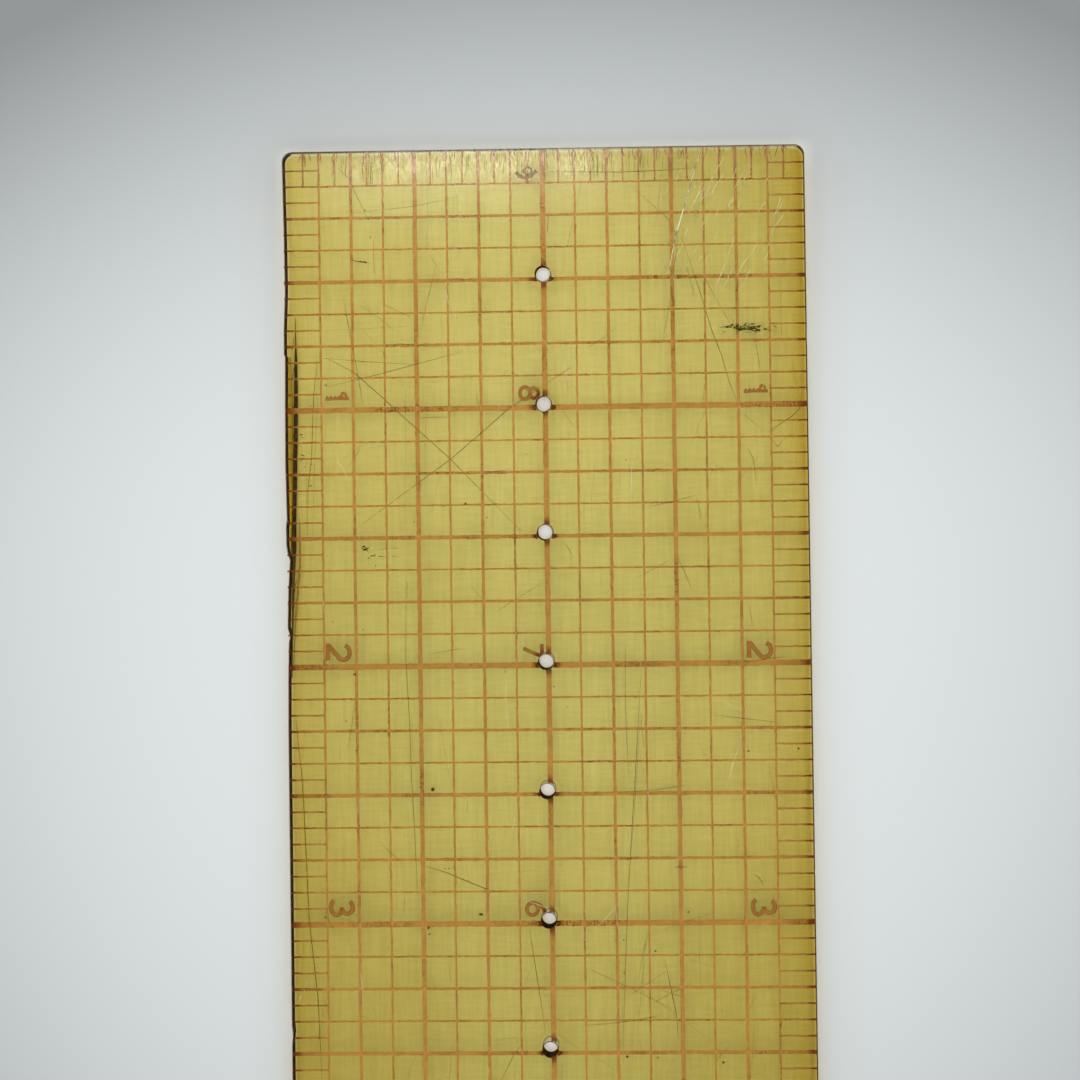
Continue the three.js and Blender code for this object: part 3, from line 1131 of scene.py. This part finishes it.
seen_squiggles = [
    ([(17.7, 17.2), (17.8, 17.5), (17.7, 17.7), (17.8, 17.9), (17.7, 18.0)], 0.06),
    ([(17.7, 18.1), (17.6, 18.3), (17.8, 18.4), (17.5, 18.6), (17.8, 18.7), (17.6, 18.9)], 0.09),
    ([(17.6, 18.9), (17.9, 19.0), (18.0, 19.2), (17.9, 19.1), (17.9, 19.4)], 0.13),
    ([(17.9, 19.4), (18.0, 19.7), (18.0, 20.0), (18.1, 20.4), (18.2, 20.8), (18.4, 21.0)], 0.1),
    ([(18.0, 20.0), (17.5, 20.2), (17.9, 20.3), (17.7, 20.4)], 0.1),
    ([(10.2, -19.1), (10.6, -18.8), (10.7, -18.3), (10.7, -18.1), (10.9, -17.1)], 0.07),
    ([(39.0, -18.4), (39.2, -18.1), (39.1, -17.9), (39.1, -17.6)], 0.12),
    ([(39.2, -16.5), (39.1, -15.8)], 0.1),
    ([(39.1, -15.5), (39.1, -14.7)], 0.1),
    ([(39.9, -16.5), (39.9, -15.9)], 0.09),
    ([(39.9, -15.4), (39.9, -14.8)], 0.09),
]
seen_blots = [([(70.7, 12.2), (70.7, 13.3)], 0.16), ([(29.7, -24.3), (29.9, -23.9)], 0.22)]

# The smudges: the seed, the middle, the reach, the count and the longest of each
smudges = [
    (31, (17.75, 18.6), (0.12, 0.8), 22, 0.4),
    (32, (10.7, -18.0), (0.08, 0.5), 6, 0.3),
    (33, (39.1, -18.1), (0.12, 0.25), 12, 0.4),
    (34, (39.9, -17.3), (0.1, 0.3), 7, 0.3),
    (35, (30.4, -23.9), (1.2, 0.3), 8, 0.3),
]
rubs = seen_squiggles + [rub for one in smudges for rub in smudge(*one)] + seen_blots
on_top("grime_rubs", rubs, rub_grime)

seen_specks = [
    (1.6, -15.9, 0.14),
    (5.6, -17.6, 0.14),
    (6.5, -17.3, 0.19),
    (8.3, -17.1, 0.16),
    (20.6, -18.0, 0.14),
    (22.9, -21.7, 0.19),
    (24.9, -23.2, 0.14),
    (25.5, -14.9, 0.2),
    (30.0, -1.9, 0.16),
    (30.7, 7.9, 0.16),
    (34.8, -8.0, 0.24),
    (36.2, -5.9, 0.18),
    (36.5, -13.1, 0.16),
    (40.8, -17.0, 0.19),
    (46.3, -21.3, 0.16),
    (47.1, -18.3, 0.16),
    (51.4, -4.3, 0.19),
    (51.5, -19.2, 0.27),
    (52.9, 0.5, 0.19),
    (54.9, 1.8, 0.16),
    (56.1, -20.1, 0.16),
    (59.0, -19.1, 0.27),
    (59.2, 24.4, 0.24),
    (59.4, 19.5, 0.24),
    (62.9, -11.6, 0.41),
    (70.7, -10.5, 0.16),
    (70.7, -10.1, 0.16),
    (75.1, 13.4, 0.22),
    (75.2, -7.0, 0.49),
    (75.4, -22.4, 0.27),
    (76.5, -12.2, 0.35),
    (77.1, -12.1, 0.22),
    (77.8, 7.0, 0.19),
    (78.4, -16.2, 0.16),
    (78.9, 10.1, 0.23),
    (81.0, 7.0, 0.19),
    (89.2, 7.2, 0.3),
    (89.3, 10.2, 0.2),
    (89.8, 16.6, 0.27),
]


def specks():
    """Dots of dirt: the ones that show, and a scatter over the rest."""
    draw = random.Random(41)
    spots = list(seen_specks)
    for _ in range(150):
        u = draw.uniform(1, print_length - 1)
        v = draw.uniform(-25, 25)
        spots.append((u, v, draw.uniform(0.04, 0.12)))
    made = []
    bpy.ops.object.select_all(action="DESELECT")
    for u, v, size in spots:
        bpy.ops.mesh.primitive_cylinder_add(
            vertices=7,
            radius=size / 2 * MM,
            depth=(mark_high - mark_low) * MM,
            location=((zero_x + u) * MM, v * MM, (mark_low + mark_high) / 2 * MM),
            rotation=(0, 0, draw.uniform(0, 3)),
        )
        spot = bpy.context.object
        spot.scale = (1, draw.uniform(0.5, 1), 1)
        made.append(spot)
    return settle(joined("dirt_specks", made))


keep(specks(), [black_grime])

# The crack inside the sheet, from short of the first inch to past the chips on the left edge, and what
# shows along it. Each point has its place and its width.
crack = [
    (16.0, -25.0, 0.05),
    (18.5, -24.98, 0.12),
    (20.5, -24.98, 0.3),
    (24.0, -25.02, 0.4),
    (28.0, -25.09, 0.42),
    (32.0, -25.22, 0.44),
    (36.0, -25.36, 0.5),
    (39.0, -25.42, 0.56),
    (41.5, -25.46, 0.32),
    (45.0, -25.58, 0.24),
    (48.0, -25.66, 0.16),
    (52.0, -25.72, 0.08),
]
golden_streak = [
    (36.0, -24.75, 0.05),
    (38.5, -24.72, 0.14),
    (41.0, -24.75, 0.2),
    (43.0, -24.95, 0.22),
    (45.0, -25.15, 0.22),
    (47.5, -25.36, 0.18),
    (51.0, -25.5, 0.06),
]
flap = [(20.0, -25.5, 0.3), (26.0, -25.5, 0.6), (34.0, -25.56, 0.4), (39.0, -25.62, 0.1)]
flake = [(36.3, -25.82, 0.03), (37.2, -25.79, 0.1), (38.3, -25.76, 0.05)]
edge_marks = [
    ("edge_crack", crack, crack_shade, "aged_plastic", 0.02, 0.1),
    ("edge_crack_streak", golden_streak, golden_flap, "aged_plastic", 0.3, 0.4),
    ("edge_flap", flap, golden_flap, "aged_plastic", 0.45, 0.55),
    ("edge_flake", flake, black_grime, "aged_film", 1.3, 1.45),
]
for name, run, finish, slot, low, high in edge_marks:
    drawn(name, [(run, 0)], finish, slot, low, high)
flecks = [(bent((18 + 3 * n, -24.9), (19.4 + 3 * n, -25.15), random.Random(n)), 0.06) for n in range(9)]
drawn("edge_crack_flecks", flecks, black_grime, "aged_plastic", 1.05, 1.15)


# Surroundings

floor_size = 4
floor_drop = 0.0002
table_beyond = (0.745, 0.78, 0.775)
# The table's tone under the ruler and in the pin holes is painted light, lifted where the ruler's shadow
# falls.
table_painted_light_under_ruler = (0.87, 0.9, 0.925)
table_painted_light_in_holes = (0.97, 0.985, 1.0)
# The least that the painted shade on the table leaves of its tone
dimmest_painted_shade = 0.38
sky_tint = (0.98, 0.99, 1.0, 1)
sky_strength = 1.05


def floor_finish():
    """A plain pale table with painted light and painted shade: lifted under the ruler and in its pin holes
    by painted light where the ruler's shadow falls, and dimmer away from the ruler's second inch by painted
    shade.
    """
    f = Finish("pale_table_painted_light_and_shade")
    # Painted light: the table is lifted under the ruler and just past its edges, where the ruler's shadow
    # falls.
    under = f.from_centre().fade(edge_y + 1.5, edge_y - 1.2)
    under = under * f.x.maths("ABSOLUTE").fade(-zero_x + 1.5, -zero_x - 1)
    # Painted shade: the table dims away from the ruler's second inch.
    across = (f.y + 1.3) * (1 / 94)
    along = f.from_zero() - 42
    behind = along.maths("MINIMUM", 0.0) * (1 / 67) * (1 - under)
    ahead = along.maths("MAXIMUM", 0.0).maths("MINIMUM", 50.0) * (1 / 110)
    spread = (across * across + behind * behind + ahead * ahead).maths("POWER", 1.5)
    shade = (spread * -1).maths("EXPONENT").maths("MAXIMUM", dimmest_painted_shade)
    tone = f.blend(under, table_beyond, table_painted_light_under_ruler)
    # Painted light: a pool of light painted on the table in each pin hole.
    tone = f.blend(f.hole_distance().fade(1.3, 0.85), tone, table_painted_light_in_holes)
    tone = f.blend(shade, (0.0, 0.0, 0.0), tone)
    return f.done(f.solid(tone, 0.9, Specular_IOR_Level=0.1))


bpy.ops.object.select_all(action="DESELECT")
bpy.ops.mesh.primitive_plane_add(size=floor_size, location=(0, 0, -floor_drop))
floor = settle(named("floor"))
floor.data.materials.append(floor_finish())

world = bpy.data.worlds.new("soft_light")
bpy.context.scene.world = world
world.use_nodes = True
sky = world.node_tree.nodes["Background"].inputs
sky["Color"].default_value = sky_tint
sky["Strength"].default_value = sky_strength


def lamp(name, place, aim, width, height, power):
    bpy.ops.object.select_all(action="DESELECT")
    bpy.ops.object.light_add(type="AREA", location=place)
    light = bpy.context.object
    light.name = name
    light.data.shape = "RECTANGLE"
    light.data.size = width
    light.data.size_y = height
    light.data.energy = power
    light.visible_diffuse = False
    light.rotation_euler = (Vector(aim) - Vector(place)).to_track_quat("-Z", "Y").to_euler()


# The lamp whose image lies along the zero end of the ruler
lamp("window", place=(-0.376, -0.09, 0.8), aim=(-0.376, -0.09, 0), width=0.015, height=0.17, power=0.56)

# The camera, as the photo's was: over the start of the second inch, looking almost straight down
camera_turn = (-0.607, 1.429, -0.817)
camera_shift = (-5.832, -27.625, 154.628)
image_side = 1080
focal_pixels = 1550
sharp_point = (601.1, 430.1)
sensor = 36

turn = (
    Matrix.Rotation(math.radians(camera_turn[2]), 3, "Z")
    @ Matrix.Rotation(math.radians(camera_turn[1]), 3, "Y")
    @ Matrix.Rotation(math.radians(camera_turn[0]), 3, "X")
)
# The photo's axes are across the ruler, along it and down, so the model's are these in another order
to_model = Matrix(((0, 1, 0), (1, 0, 0), (0, 0, -1)))
eye = to_model @ (turn.transposed() @ -Vector(camera_shift)) + Vector((zero_x, 0, 0))
right, down, ahead = (to_model @ Vector(row) for row in turn)
bpy.ops.object.camera_add(location=(0, 0, 0))
camera = bpy.context.object
camera.matrix_world = Matrix.LocRotScale(eye * MM, Matrix((right, -down, -ahead)).transposed(), None)
camera.data.sensor_width = sensor
camera.data.lens = focal_pixels / image_side * sensor
camera.data.shift_x = (image_side / 2 - sharp_point[0]) / image_side
camera.data.shift_y = (sharp_point[1] - image_side / 2) / image_side
camera.data.clip_start = 0.01
bpy.context.scene.camera = camera
bpy.context.scene.view_settings.view_transform = "Standard"

for cutter in (drill, ink_drill):
    bpy.data.objects.remove(cutter)
